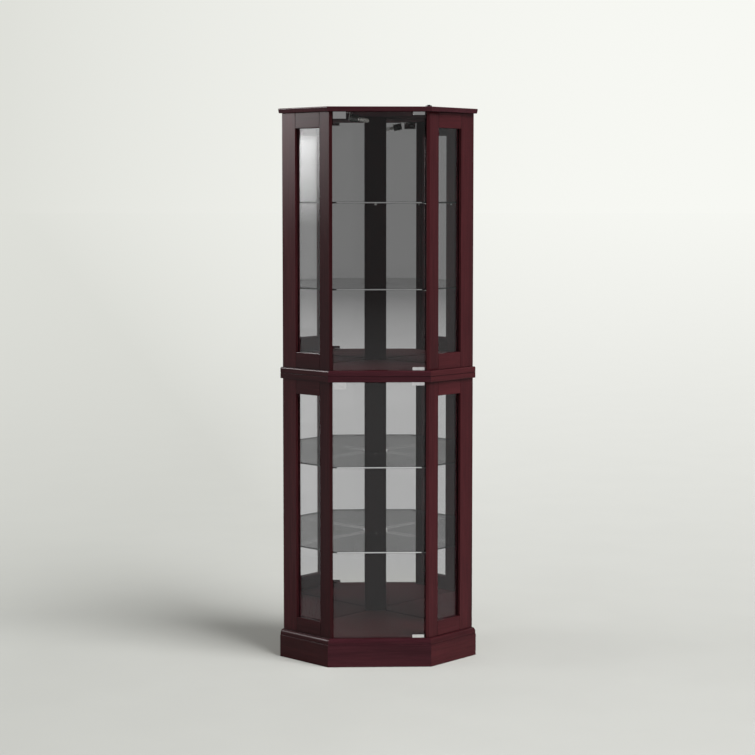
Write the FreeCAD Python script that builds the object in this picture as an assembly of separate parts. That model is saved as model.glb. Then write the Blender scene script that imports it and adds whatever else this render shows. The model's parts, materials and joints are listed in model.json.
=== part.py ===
import FreeCAD, Part
import math
import os

# Corner curio cabinet: two glazed cases stacked on a plinth, five-sided in plan.
# Millimetres, +Z up, front towards -Y. Pieces are drawn with the cabinet's front
# face on y = 0 and its middle on x = 0. The origin of the finished part is the
# middle of its footprint, at floor level.

V = FreeCAD.Vector
CANT = 45.0                   # sides turn back from the front by this angle
COS = math.cos(math.radians(CANT))
MITRE = math.tan(math.radians(CANT / 2))
UP = V(0, 0, 1)

# ---- plan of the carcass ----
FRONT_WIDTH = 320.0           # flat front, over both corner stiles
SIDE_WIDTH = 215.0            # each canted side, front corner to wall
BACK_WIDTH = 70.0             # flat across the corner of the room
BASE_OVERHANG = 17.0          # plinth beyond the carcass, front and sides
TOP_OVERHANG = 17.0           # top board beyond the carcass
WAIST_OVERHANG = 11.0         # waist moulding beyond the carcass

# ---- heights ----
PLINTH_HEIGHT = 91.0
LOWER_CASE_HEIGHT = 832.0     # clear height between floor and ceiling boards
WAIST_BOARD = 18.5            # each of the two boards that meet at the waist
UPPER_CASE_HEIGHT = 825.0
TOP_BOARD = 15.0
BOTTOM_BOARD = 18.0

# ---- glazed side frames ----
FRAME_THICK = 22.0
FRONT_STILE = 44.0            # face widths
REAR_STILE = 61.5
FRONT_FACET = 10.0            # stile's own strip of the flat front
LOWER_TOP_RAIL = 47.5
LOWER_BOTTOM_RAIL = 48.0
UPPER_TOP_RAIL = 50.5
UPPER_BOTTOM_RAIL = 51.5
REBATE = 8.0                  # glazing rebate, into stile or rail
PANE_RECESS = 10.5            # outer face of frame to glass
PANE_THICK = 3.0
PANE_GAP = 0.5                # pane to bottom of rebate
BEAD_BEVEL = 3.0
TENON_LENGTH = 20.0
TENON_THICK = 8.0
TENON_INSET = 5.0             # outer face of frame to tenon
TENON_SHOULDER = 7.0          # rail edge to tenon, top and bottom
ARRIS = 1.5                   # rounding of worked edges

# ---- back ----
WALL_RECESS = 3.0             # wall line to back board
BACK_THICK = 8.0
MIRROR_THICK = 3.0
MIRROR_GAP = 1.0              # mirror to floor, ceiling and frame
POST_FACE = 71.0              # centre post, seen from the front

# ---- shelves ----
SHELF_THICK = 5.0
SHELF_SETBACK = 22.0          # cabinet front to shelf edge
SHELF_SIDE_GAP = 10.0
SHELF_MIRROR_GAP = 4.5
SHELF_POST_GAP = 4.0
SHELF_ARRIS = 0.8
LOWER_SHELF_LOW = 273.0       # undersides, above the floor of their case
LOWER_SHELF_HIGH = 550.0
UPPER_SHELF_LOW = 256.0
UPPER_SHELF_HIGH = 534.0
PIN_RADIUS = 2.5
PIN_SIDES = 12
PIN_DEPTH = 9.0               # into the wood
PIN_UNDER_GLASS = 8.0
PIN_BLADE_WIDTH = 8.0
PIN_BLADE_THICK = 1.6
PIN_BACKPLATE = 7.0           # height of the plate that lies on the wood

# ---- plinth and mouldings ----
PLINTH_STEP = 2.0             # roundover to fascia
PLINTH_ROUND = 13.0
PLINTH_FILLET = 6.0           # small square between roundover and bead
PLINTH_BEAD = 2.0
WAIST_ROUND = 5.0
WAIST_GROOVE = 1.6            # height of the fine groove along the band's middle
WAIST_GROOVE_DEPTH = 1.6
WAIST_LOWER_ROUND = 2.0
TOP_EDGE_ROUND = 2.0
RAIL_THICK = 18.0             # plinth's back rails
BLOCK_LEG = 52.0              # glue blocks in the plinth
BLOCK_HEIGHT = 58.0

# ---- doors ----
DOOR_THICK = 5.0
DOOR_SETBACK = 2.0            # cabinet front to glass
DOOR_GAP_LEFT = 2.5
DOOR_GAP_RIGHT = 4.5
DOOR_ARRIS = 0.8
HINGE_GAP = 1.0               # hinge clip to board
CLIP_WALL = 2.0
CLIP_WEB = 1.5
CLIP_WIDTH = 39.5             # plate in front of the glass
CLIP_REAR_WIDTH = 21.5        # plate behind it
CLIP_HEIGHT = 10.0
CLIP_EASE = 1.0
PIVOT_INSET = 10.5            # door's hinge edge to pivot
PIVOT_RADIUS = 2.5
PIVOT_LENGTH = 9.0            # inside the bushing
PIVOT_CLEARANCE = 0.05        # radial
PIVOT_END_GAP = 1.0
BUSHING_WALL = 1.8
STRIKE_WIDTH = 41.0           # plate in front of the glass
STRIKE_REAR_WIDTH = 28.5      # plate behind it
STRIKE_HEIGHT = 22.0
STRIKE_WALL = 1.2

# ---- touch latches ----
LATCH_WIDTH = 16.0
LATCH_HEIGHT = 13.0
LATCH_LENGTH = 44.0
LATCH_FRONT_GAP = 5.0         # strike plate to latch case
LATCH_EAR_WIDTH = 34.0
LATCH_EAR_LENGTH = 18.0
LATCH_EAR_THICK = 2.0
PLUNGER_RADIUS = 4.0
PLUNGER_LENGTH = 24.0
PLUNGER_TRAVEL = 3.0
PLUNGER_GAP = 0.3             # strike plate to plunger
PLUNGER_CLEARANCE = 0.08      # radial
PLUNGER_SPACE = 6.0           # behind the plunger, for its spring
PLUNGER_DROP = 7.5            # case's top to the plunger's middle

# ---- lamp under the top board ----
LAMP_LATCH_GAP = 8.0          # latch case to the bracket's foot
LAMP_Y = 60.0
LAMP_DROP = 16.0
LAMP_TILT = 11.0
SOCKET_RADIUS = 12.0
SOCKET_LENGTH = 28.0
SOCKET_LIP = 3.0
SOCKET_LIP_RADIUS = 13.2
SOCKET_BORE = 6.5
SOCKET_DEPTH = 16.0
BULB_BASE_RADIUS = 6.4
BULB_BASE_LENGTH = 15.0       # screwed into the socket
BULB_RADIUS = 6.8
BULB_LENGTH = 36.0            # glass, outside the socket
BULB_GAP = 0.8                # socket mouth to glass
BULB_DOME_STEPS = 3
BRACKET_THICK = 1.5
BRACKET_WIDTH = 18.0
BRACKET_FOOT = 26.0
BRACKET_BELOW = 8.0           # below the socket's middle

# ---- lamp switch and lead entry on the top board ----
SWITCH_X = 157.0
SWITCH_Y = 10.0
SWITCH_RADIUS = 10.0
SWITCH_HEIGHT = 4.0
BUTTON_RADIUS = 5.5
BUTTON_RISE = 2.2
BUTTON_TRAVEL = 1.5
BUTTON_CLEARANCE = 0.08       # radial
BUTTON_FLOOR = 0.6
BUTTON_EASE = 0.8
GROMMET_X = -80.0
GROMMET_Y = 120.0
GROMMET_RADIUS = 6.0
GROMMET_FLANGE = 9.0
GROMMET_FLANGE_THICK = 1.6

# ---- levels and lines that follow from the sizes above ----
HALF = FRONT_WIDTH / 2
LOWER_FLOOR = PLINTH_HEIGHT
LOWER_CEILING = LOWER_FLOOR + LOWER_CASE_HEIGHT
UPPER_FLOOR = LOWER_CEILING + 2 * WAIST_BOARD
UPPER_CEILING = UPPER_FLOOR + UPPER_CASE_HEIGHT
TOP = UPPER_CEILING + TOP_BOARD
SIDE_REACH = SIDE_WIDTH * COS
WALL_SUM = HALF + 2 * SIDE_REACH          # x + y along the right-hand wall
BACK_Y = WALL_SUM - BACK_WIDTH / 2
ORIGIN_Y = (BACK_Y - max(BASE_OVERHANG, TOP_OVERHANG)) / 2
JAMB = HALF - FRONT_FACET
PANE_START = FRONT_STILE - REBATE         # along the canted side
PANE_END = SIDE_WIDTH - REAR_STILE + REBATE
OPENING_END = SIDE_WIDTH - REAR_STILE
BACK_OUTER = SIDE_WIDTH - WALL_RECESS
BACK_INNER = BACK_OUTER - BACK_THICK
MIRROR_FACE = BACK_INNER - MIRROR_THICK
MIRROR_SUM = HALF + 2 * MIRROR_FACE * COS
POST_Y = MIRROR_SUM - POST_FACE / 2
POST_DEPTH = (BACK_THICK + MIRROR_THICK) * COS
POST_SIDE = (POST_Y + HALF - POST_FACE / 2) * COS
POST_REAR_Y = BACK_Y - WALL_RECESS
POST_REAR = HALF + 2 * BACK_OUTER * COS - POST_REAR_Y
DOOR_LEFT = -JAMB + DOOR_GAP_LEFT
DOOR_RIGHT = JAMB - DOOR_GAP_RIGHT
DOOR_BACK = DOOR_SETBACK + DOOR_THICK
DOOR_END_GAP = HINGE_GAP + CLIP_WEB
PIVOT_X = DOOR_RIGHT - PIVOT_INSET
PIVOT_Y = DOOR_SETBACK + DOOR_THICK / 2
PIVOT_REACH = HINGE_GAP + PIVOT_LENGTH    # clip to end of pin
BUSHING_RADIUS = PIVOT_RADIUS + PIVOT_CLEARANCE + BUSHING_WALL
BUSHING_LENGTH = PIVOT_LENGTH + PIVOT_END_GAP
STRIKE_BACK = DOOR_BACK + STRIKE_WALL
LATCH_X = DOOR_LEFT + STRIKE_REAR_WIDTH / 2
LATCH_FRONT = STRIKE_BACK + LATCH_FRONT_GAP
BRACKET_LEFT = LATCH_X + LATCH_WIDTH / 2 + LAMP_LATCH_GAP
BRACKET_HEEL = BRACKET_LEFT + BRACKET_FOOT
LAMP_X = BRACKET_HEEL - LAMP_DROP * math.tan(math.radians(LAMP_TILT))
PIN_DROP = PIN_BACKPLATE / 2              # blade's top to the pin's middle


# ---- drawing helpers ----
def corner_wire(corners):
    """Closed outline in the XY plane; a corner is (x, y) or (x, y, radius)."""
    count = len(corners)
    marks = []
    for index, corner in enumerate(corners):
        here = V(corner[0], corner[1], 0)
        last = corners[index - 1]
        following = corners[(index + 1) % count]
        if len(corner) == 2:
            marks.append((here, None, here))
            continue
        radius = corner[2]
        back = (V(last[0], last[1], 0) - here).normalize()
        on = (V(following[0], following[1], 0) - here).normalize()
        half = back.getAngle(on) / 2
        inward = (back + on).normalize()
        middle = here + inward * (radius / math.sin(half) - radius)
        reach = radius / math.tan(half)
        marks.append((here + back * reach, middle, here + on * reach))
    edges = []
    for index, (start, middle, end) in enumerate(marks):
        if middle is not None:
            edges.append(Part.Arc(start, middle, end).toShape())
        target = marks[(index + 1) % count][0]
        if end.distanceToPoint(target) > 1e-6:
            edges.append(Part.LineSegment(end, target).toShape())
    return Part.Wire(edges)


def prism(corners, bottom, top):
    """Upright solid on a plan outline."""
    solid = Part.Face(corner_wire(corners)).extrude(V(0, 0, top - bottom))
    solid.translate(V(0, 0, bottom))
    return solid


def block(x0, x1, y0, y1, z0, z1):
    return Part.makeBox(x1 - x0, y1 - y0, z1 - z0, V(x0, y0, z0))


def mirrored(shape):
    """The left-hand twin of a right-hand piece."""
    return shape.mirror(V(0, 0, 0), V(1, 0, 0))


def on_side(shape):
    """Stands a piece drawn along X, thickness along Y, on the right-hand canted side."""
    turned = shape.copy()
    turned.rotate(V(0, 0, 0), UP, CANT)
    turned.translate(V(HALF, 0, 0))
    return turned


def side_point(along, inward):
    return (HALF + (along - inward) * COS, (along + inward) * COS)


def carcass_outline(overhang=0.0):
    """Five-sided plan with the back corner cut flat, corners anticlockwise."""
    front = HALF + overhang * MITRE
    tip_x, tip_y = side_point(SIDE_WIDTH, -overhang)
    back = BACK_WIDTH / 2
    return [(-front, -overhang), (front, -overhang), (tip_x, tip_y),
            (back, BACK_Y), (-back, BACK_Y), (-tip_x, tip_y)]


def outer_edges(shape, level, overhang):
    """Edges of a board at one level, along its front and canted sides."""
    found = []
    for edge in shape.Edges:
        ends = [vertex.Point for vertex in edge.Vertexes]
        flat = all(abs(end.z - level) < 1e-4 for end in ends)
        outside = all(_beyond(end) > overhang - 1e-4 for end in ends)
        if flat and outside:
            found.append(edge)
    return found


def _beyond(point):
    """How far a point lies outside the carcass, over the front or a side."""
    side = (abs(point.x) - HALF - point.y) * COS
    return max(-point.y, side)


# ---- mouldings, mitred round the front and sides ----
def front_moulding(profile):
    """Runs a profile of (overhang, height) along the front, mitred at both ends."""
    spare = FRONT_WIDTH
    turn = FreeCAD.Rotation(V(0, -1, 0), UP, V(-1, 0, 0), "XYZ")
    run = Part.Face(corner_wire(profile)).extrude(V(0, 0, FRONT_WIDTH + 2 * spare))
    run.Placement = FreeCAD.Placement(V(HALF + spare, 0, 0), turn)
    reach = HALF + spare * MITRE
    sector = [(-HALF, 0), (-reach, -spare), (reach, -spare), (HALF, 0)]
    return run.common(prism(sector, 0, TOP)).Solids[0]


def side_moulding(profile):
    """The same along the right-hand canted side, mitred in front, square at the wall."""
    spare = FRONT_WIDTH
    turn = FreeCAD.Rotation(V(COS, -COS, 0), UP, V(-COS, -COS, 0), "XYZ")
    run = Part.Face(corner_wire(profile)).extrude(V(0, 0, SIDE_WIDTH + spare))
    start_x, start_y = side_point(SIDE_WIDTH, 0)
    run.Placement = FreeCAD.Placement(V(start_x, start_y, 0), turn)
    sector = [(HALF, 0), (HALF + spare * MITRE, -spare),
              side_point(SIDE_WIDTH, -spare), (start_x, start_y)]
    return run.common(prism(sector, 0, TOP)).Solids[0]


def plinth_profile():
    """Fascia with a bead, a small fillet and a roundover up to the carcass."""
    round_foot = PLINTH_HEIGHT - PLINTH_ROUND
    fascia_top = round_foot - PLINTH_FILLET
    return [(0, 0), (BASE_OVERHANG, 0), (BASE_OVERHANG, fascia_top, PLINTH_BEAD),
            (BASE_OVERHANG - PLINTH_STEP, fascia_top),
            (BASE_OVERHANG - PLINTH_STEP, PLINTH_HEIGHT, PLINTH_ROUND),
            (0, PLINTH_HEIGHT)]


def waist_profile():
    """One band over both boards, rounded on top, with a fine groove at their joint."""
    joint = LOWER_CEILING + WAIST_BOARD
    low = joint - WAIST_GROOVE / 2
    high = joint + WAIST_GROOVE / 2
    inner = WAIST_OVERHANG - WAIST_GROOVE_DEPTH
    return [(0, LOWER_CEILING), (WAIST_OVERHANG, LOWER_CEILING, WAIST_LOWER_ROUND),
            (WAIST_OVERHANG, low), (inner, low), (inner, high), (WAIST_OVERHANG, high),
            (WAIST_OVERHANG, UPPER_FLOOR, WAIST_ROUND), (0, UPPER_FLOOR)]


# ---- plinth ----
def plinth_back_rails():
    """Two rails along the walls and a short one across the corner."""
    top = PLINTH_HEIGHT - BOTTOM_BOARD
    inner = BACK_Y - RAIL_THICK
    slant = RAIL_THICK / COS
    across = WALL_SUM - inner
    rear = prism([(-across, inner), (across, inner), (BACK_WIDTH / 2, BACK_Y),
                  (-BACK_WIDTH / 2, BACK_Y)], 0, top)
    wall = prism([side_point(SIDE_WIDTH, 0), (across, inner), (across - slant, inner),
                  side_point(SIDE_WIDTH - RAIL_THICK, 0)], 0, top)
    return Part.makeCompound([wall, mirrored(wall), rear])


def base_corner_blocks():
    """Triangular glue blocks behind the plinth's four corners."""
    top = PLINTH_HEIGHT - BOTTOM_BOARD
    low = top - BLOCK_HEIGHT
    front = prism([(HALF, 0), side_point(BLOCK_LEG, 0), (HALF - BLOCK_LEG, 0)], low, top)
    inner = SIDE_WIDTH - RAIL_THICK
    rear = prism([side_point(inner - BLOCK_LEG, 0), side_point(inner, 0),
                  side_point(inner, BLOCK_LEG)], low, top)
    return Part.makeCompound([front, mirrored(front), rear, mirrored(rear)])


# ---- horizontal boards ----
def bushing_hole(board_face, direction):
    """Blind hole for a pivot bushing, from a board's face into the board."""
    return Part.makeCylinder(BUSHING_RADIUS, BUSHING_LENGTH,
                             V(PIVOT_X, PIVOT_Y, board_face), V(0, 0, direction))


def bottom_board():
    board = prism(carcass_outline(), PLINTH_HEIGHT - BOTTOM_BOARD, PLINTH_HEIGHT)
    return board.cut(bushing_hole(LOWER_FLOOR, -1))


def lower_top_board():
    board = prism(carcass_outline(), LOWER_CEILING, LOWER_CEILING + WAIST_BOARD)
    return board.cut(bushing_hole(LOWER_CEILING, 1))


def upper_bottom_board():
    board = prism(carcass_outline(), UPPER_FLOOR - WAIST_BOARD, UPPER_FLOOR)
    return board.cut(bushing_hole(UPPER_FLOOR, -1))


def top_board():
    board = prism(carcass_outline(TOP_OVERHANG), UPPER_CEILING, TOP)
    worked = outer_edges(board, TOP, TOP_OVERHANG)
    worked += outer_edges(board, UPPER_CEILING, TOP_OVERHANG)
    board = board.makeFillet(TOP_EDGE_ROUND, worked)
    lead_hole = Part.makeCylinder(GROMMET_RADIUS, TOP_BOARD,
                                  V(GROMMET_X, GROMMET_Y, UPPER_CEILING))
    return board.cut([bushing_hole(UPPER_CEILING, 1), lead_hole])


# ---- side frames, drawn along X with their outer face on y = 0 ----
def tenons(rail_low, rail_high, bottom, top):
    """Both end tenons of one rail, clear of its shoulders."""
    low = rail_low + TENON_SHOULDER
    high = rail_high - TENON_SHOULDER
    back = TENON_INSET + TENON_THICK
    if rail_low > bottom:
        low += REBATE
    if rail_high < top:
        high -= REBATE
    front_end = block(FRONT_STILE - TENON_LENGTH, FRONT_STILE, TENON_INSET, back, low, high)
    rear_end = block(OPENING_END, OPENING_END + TENON_LENGTH, TENON_INSET, back, low, high)
    return [front_end, rear_end]


def frame_levels(case):
    """Floor, ceiling and the two edges of the glazed opening."""
    if case == "lower":
        return (LOWER_FLOOR, LOWER_CEILING,
                LOWER_FLOOR + LOWER_BOTTOM_RAIL, LOWER_CEILING - LOWER_TOP_RAIL)
    return (UPPER_FLOOR, UPPER_CEILING,
            UPPER_FLOOR + UPPER_BOTTOM_RAIL, UPPER_CEILING - UPPER_TOP_RAIL)


def all_tenons(case):
    floor, ceiling, low, high = frame_levels(case)
    return tenons(floor, low, floor, ceiling) + tenons(high, ceiling, floor, ceiling)


def front_stile(case):
    """Corner post: canted face, narrow front facet, jamb and glazing rebate."""
    floor, ceiling, low, high = frame_levels(case)
    jamb_depth = 2 * FRAME_THICK * COS - FRONT_FACET
    corners = [(JAMB, 0, ARRIS), (HALF, 0, ARRIS),
               side_point(FRONT_STILE, 0) + (ARRIS,),
               side_point(FRONT_STILE, PANE_RECESS),
               side_point(PANE_START, PANE_RECESS),
               side_point(PANE_START, FRAME_THICK),
               (JAMB, jamb_depth, ARRIS)]
    stile = prism(corners, floor, ceiling)
    holes = [on_side(tenon) for tenon in all_tenons(case)]
    return stile.cut(holes)


def rear_stile(case):
    floor, ceiling, low, high = frame_levels(case)
    corners = [(OPENING_END, 0, ARRIS), (SIDE_WIDTH, 0), (SIDE_WIDTH, FRAME_THICK),
               (PANE_END, FRAME_THICK), (PANE_END, PANE_RECESS), (OPENING_END, PANE_RECESS)]
    return on_side(prism(corners, floor, ceiling).cut(all_tenons(case)))


def frame_rail(low, high, glass_above, ends):
    """Rail with a long front shoulder, a rebated back and two tenons."""
    front = block(FRONT_STILE, OPENING_END, 0, PANE_RECESS, low, high)
    if glass_above:
        edge = block(PANE_START, PANE_END, PANE_RECESS, FRAME_THICK, low, high - REBATE)
    else:
        edge = block(PANE_START, PANE_END, PANE_RECESS, FRAME_THICK, low + REBATE, high)
    return on_side(front.fuse([edge] + ends).removeSplitter())


def side_rails(case):
    floor, ceiling, low, high = frame_levels(case)
    bottom = frame_rail(floor, low, True, tenons(floor, low, floor, ceiling))
    top = frame_rail(high, ceiling, False, tenons(high, ceiling, floor, ceiling))
    return Part.makeCompound([bottom, top])


def side_glass(case):
    floor, ceiling, low, high = frame_levels(case)
    return on_side(block(PANE_START + PANE_GAP, PANE_END - PANE_GAP,
                         PANE_RECESS, PANE_RECESS + PANE_THICK,
                         low - REBATE + PANE_GAP, high + REBATE - PANE_GAP))


def glass_beads(case):
    """Four beads that hold one pane in its rebate from inside."""
    floor, ceiling, low, high = frame_levels(case)
    face = PANE_RECESS + PANE_THICK
    bevel = FRAME_THICK - BEAD_BEVEL
    upright = [(PANE_START, face), (FRONT_STILE, face), (FRONT_STILE, bevel),
               (FRONT_STILE - BEAD_BEVEL, FRAME_THICK), (PANE_START, FRAME_THICK)]
    twin = [(PANE_START + PANE_END - x, y) for x, y in reversed(upright)]
    beads = [prism(upright, low - REBATE, high + REBATE),
             prism(twin, low - REBATE, high + REBATE)]
    for edge, outer in ((low, low - REBATE), (high, high + REBATE)):
        soft = edge + math.copysign(BEAD_BEVEL, outer - edge)
        section = [(face, outer), (FRAME_THICK, outer), (FRAME_THICK, soft),
                   (bevel, edge), (face, edge)]
        length = OPENING_END - FRONT_STILE
        bead = Part.Face(corner_wire(section)).extrude(V(0, 0, length))
        turn = FreeCAD.Rotation(V(0, 1, 0), UP, V(1, 0, 0), "XYZ")
        bead.Placement = FreeCAD.Placement(V(FRONT_STILE, 0, 0), turn)
        beads.append(bead)
    return [on_side(bead) for bead in beads]


# ---- backs, mirrors and centre post ----
def back_board(case):
    floor, ceiling, low, high = frame_levels(case)
    return on_side(block(BACK_INNER, BACK_OUTER, FRAME_THICK, POST_SIDE, floor, ceiling))


def mirror_plate(case):
    floor, ceiling, low, high = frame_levels(case)
    return on_side(block(MIRROR_FACE, BACK_INNER, FRAME_THICK + MIRROR_GAP, POST_SIDE,
                         floor + MIRROR_GAP, ceiling - MIRROR_GAP))


def centre_post(case):
    """Six-sided: its wings close the gap between the mirrors and the boards."""
    floor, ceiling, low, high = frame_levels(case)
    face = POST_FACE / 2
    wing = face + POST_DEPTH
    wing_y = POST_Y + POST_DEPTH
    corners = [(-face, POST_Y), (face, POST_Y), (wing, wing_y), (POST_REAR, POST_REAR_Y),
               (-POST_REAR, POST_REAR_Y), (-wing, wing_y)]
    return prism(corners, floor, ceiling)


# ---- shelves ----
def shelf_levels(case):
    """Undersides of the case's shelves, lowest first."""
    if case == "lower":
        return [LOWER_FLOOR + LOWER_SHELF_LOW, LOWER_FLOOR + LOWER_SHELF_HIGH]
    return [UPPER_FLOOR + UPPER_SHELF_LOW, UPPER_FLOOR + UPPER_SHELF_HIGH]


def shelf(level):
    """Six-sided glass, clear of the frames, the mirrors and the centre post."""
    side = FRAME_THICK + SHELF_SIDE_GAP
    reach = MIRROR_FACE - SHELF_MIRROR_GAP
    front_x = HALF - side / COS + SHELF_SETBACK
    rear_y = POST_Y - SHELF_POST_GAP
    rear_x = HALF + 2 * reach * COS - rear_y
    tip_x, tip_y = side_point(reach, side)
    right = [(front_x, SHELF_SETBACK), (tip_x, tip_y), (rear_x, rear_y)]
    left = [(-x, y) for x, y in reversed(right)]
    plate = prism(right + left, level, level + SHELF_THICK)
    rims = [edge for edge in plate.Edges if edge.Vertexes[0].Z == edge.Vertexes[-1].Z]
    return plate.makeChamfer(SHELF_ARRIS, rims)


def pin_stub():
    """The pin in the wood, many-sided so that it grips its hole."""
    turn = 2 * math.pi / PIN_SIDES
    rim = [V(-PIN_DEPTH, PIN_RADIUS * math.cos(turn * step),
             PIN_RADIUS * math.sin(turn * step) - PIN_DROP) for step in range(PIN_SIDES)]
    return Part.Face(Part.makePolygon(rim + rim[:1])).extrude(V(PIN_DEPTH, 0, 0))


def at_pin(shape, x, y, heading, level):
    shape.rotate(V(0, 0, 0), UP, heading)
    shape.translate(V(x, y, level))
    return shape


def shelf_pin(length):
    """Spade support along X: pin, plate against the wood, flat blade on top."""
    half = PIN_BLADE_WIDTH / 2
    plate = block(0, PIN_BLADE_THICK, -half, half, -PIN_BACKPLATE, 0)
    blade = block(0, length, -half, half, -PIN_BLADE_THICK, 0)
    return plate.fuse([blade, pin_stub()]).removeSplitter()


def pin_places():
    """Where each shelf's pins leave the wood: x, y, heading and free length."""
    long = SHELF_SIDE_GAP + PIN_UNDER_GLASS
    stile_middle = (PANE_START + (FRAME_THICK - FRONT_FACET / COS)) / 2
    rear_middle = (PANE_END + MIRROR_FACE) / 2
    heading = CANT + 90
    places = []
    for along in (stile_middle, rear_middle):
        x, y = side_point(along, FRAME_THICK)
        places.append((x, y, heading, long))
        places.append((-x, y, 180 - heading, long))
    places.append((0, POST_Y, -90, SHELF_POST_GAP + PIN_UNDER_GLASS))
    return places


def shelf_pins():
    pins = []
    for level in shelf_levels("lower") + shelf_levels("upper"):
        for x, y, heading, length in pin_places():
            pins.append(at_pin(shelf_pin(length), x, y, heading, level))
    return Part.makeCompound(pins)


def pin_holes(case):
    """Sockets for the pins in the frames and the post of one case."""
    holes = []
    for level in shelf_levels(case):
        for x, y, heading, length in pin_places():
            holes.append(at_pin(pin_stub(), x, y, heading, level))
    return holes


# ---- doors ----
def door_levels(case):
    floor, ceiling, low, high = frame_levels(case)
    return floor + DOOR_END_GAP, ceiling - DOOR_END_GAP


def door_glass(case):
    low, high = door_levels(case)
    pane = block(DOOR_LEFT, DOOR_RIGHT, DOOR_SETBACK, DOOR_BACK, low, high)
    return pane.makeChamfer(DOOR_ARRIS, pane.Edges)


def hinge_clip(board_face, upward):
    """Channel over one end of the door's hinge edge, with its pivot pin."""
    foot = board_face + upward * HINGE_GAP
    far = foot + upward * CLIP_HEIGHT
    low, high = min(foot, far), max(foot, far)
    front = block(DOOR_RIGHT - CLIP_WIDTH, DOOR_RIGHT, DOOR_SETBACK - CLIP_WALL,
                  DOOR_SETBACK, low, high)
    rear = block(DOOR_RIGHT - CLIP_REAR_WIDTH, DOOR_RIGHT, DOOR_SETBACK,
                 DOOR_BACK + CLIP_WALL, low, high)
    corners = [edge for edge in front.Edges if edge.BoundBox.ZLength > CLIP_HEIGHT / 2
               and edge.BoundBox.YMax < DOOR_SETBACK - CLIP_WALL / 2]
    front = front.makeChamfer(CLIP_EASE, corners)
    glass_end = board_face + upward * DOOR_END_GAP
    slot = block(DOOR_RIGHT - CLIP_WIDTH, DOOR_RIGHT + CLIP_WALL, DOOR_SETBACK, DOOR_BACK,
                 min(glass_end, far), max(glass_end, far))
    pin = Part.makeCylinder(PIVOT_RADIUS, PIVOT_REACH, V(PIVOT_X, PIVOT_Y, foot),
                            V(0, 0, -upward))
    return front.fuse(rear).cut(slot).fuse(pin).removeSplitter()


def door_hinge_clips(case):
    floor, ceiling, low, high = frame_levels(case)
    return Part.makeCompound([hinge_clip(floor, 1), hinge_clip(ceiling, -1)])


def door_strike_plate(case):
    """Folded steel over the door's free top corner, for the latch magnet."""
    low, high = door_levels(case)
    cap = high + CLIP_WEB
    foot = cap - STRIKE_HEIGHT
    front = block(DOOR_LEFT, DOOR_LEFT + STRIKE_WIDTH, DOOR_SETBACK - STRIKE_WALL,
                  DOOR_SETBACK, foot, cap)
    rear = block(DOOR_LEFT, DOOR_LEFT + STRIKE_REAR_WIDTH, DOOR_SETBACK, STRIKE_BACK,
                 foot, cap)
    slot = block(DOOR_LEFT - STRIKE_WALL, DOOR_LEFT + STRIKE_WIDTH, DOOR_SETBACK, DOOR_BACK,
                 foot, high)
    return front.fuse(rear).cut(slot).removeSplitter()


def hinge_bushings():
    rings = []
    for face, direction in ((LOWER_FLOOR, -1), (LOWER_CEILING, 1),
                            (UPPER_FLOOR, -1), (UPPER_CEILING, 1)):
        bore = Part.makeCylinder(PIVOT_RADIUS + PIVOT_CLEARANCE, BUSHING_LENGTH,
                                 V(PIVOT_X, PIVOT_Y, face), V(0, 0, direction))
        rings.append(bushing_hole(face, direction).cut(bore))
    return Part.makeCompound(rings)


# ---- touch latches ----
def plunger_axis(ceiling):
    return V(LATCH_X, 0, ceiling - PLUNGER_DROP)


def latch_body(ceiling):
    """Case with a screw ear under the ceiling and a bore for the plunger."""
    middle = LATCH_X
    front = LATCH_FRONT
    ear = block(middle - LATCH_EAR_WIDTH / 2, middle + LATCH_EAR_WIDTH / 2,
                front + (LATCH_LENGTH - LATCH_EAR_LENGTH) / 2,
                front + (LATCH_LENGTH + LATCH_EAR_LENGTH) / 2,
                ceiling - LATCH_EAR_THICK, ceiling)
    case = block(middle - LATCH_WIDTH / 2, middle + LATCH_WIDTH / 2,
                 front, front + LATCH_LENGTH, ceiling - LATCH_HEIGHT, ceiling)
    axis = plunger_axis(ceiling)
    depth = STRIKE_BACK + PLUNGER_GAP + PLUNGER_LENGTH + PLUNGER_SPACE - front
    bore = Part.makeCylinder(PLUNGER_RADIUS + PLUNGER_CLEARANCE, depth,
                             V(axis.x, front, axis.z), V(0, 1, 0))
    return case.fuse(ear).cut(bore).removeSplitter()


def latch_bodies():
    return Part.makeCompound([latch_body(LOWER_CEILING), latch_body(UPPER_CEILING)])


def latch_plunger(ceiling):
    axis = plunger_axis(ceiling)
    start = STRIKE_BACK + PLUNGER_GAP
    return Part.makeCylinder(PLUNGER_RADIUS, PLUNGER_LENGTH, V(axis.x, start, axis.z),
                             V(0, 1, 0))


# ---- lamp ----
def in_lamp(shape):
    """Moves a piece drawn along X into the lamp's tilted place."""
    placed = shape.copy()
    placed.rotate(V(0, 0, 0), V(0, 1, 0), LAMP_TILT)
    placed.translate(V(LAMP_X, LAMP_Y, UPPER_CEILING - LAMP_DROP))
    return placed


def turned(outline):
    return Part.Face(corner_wire(outline)).revolve(V(0, 0, 0), V(1, 0, 0), 360)


def lamp_socket():
    """Moulded socket with a raised lip at its mouth."""
    mouth = SOCKET_LENGTH
    outline = [(0, 0), (0, SOCKET_RADIUS), (mouth - SOCKET_LIP, SOCKET_RADIUS),
               (mouth - SOCKET_LIP, SOCKET_LIP_RADIUS), (mouth, SOCKET_LIP_RADIUS),
               (mouth, SOCKET_BORE), (mouth - SOCKET_DEPTH, SOCKET_BORE),
               (mouth - SOCKET_DEPTH, 0)]
    return in_lamp(turned(outline))


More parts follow.
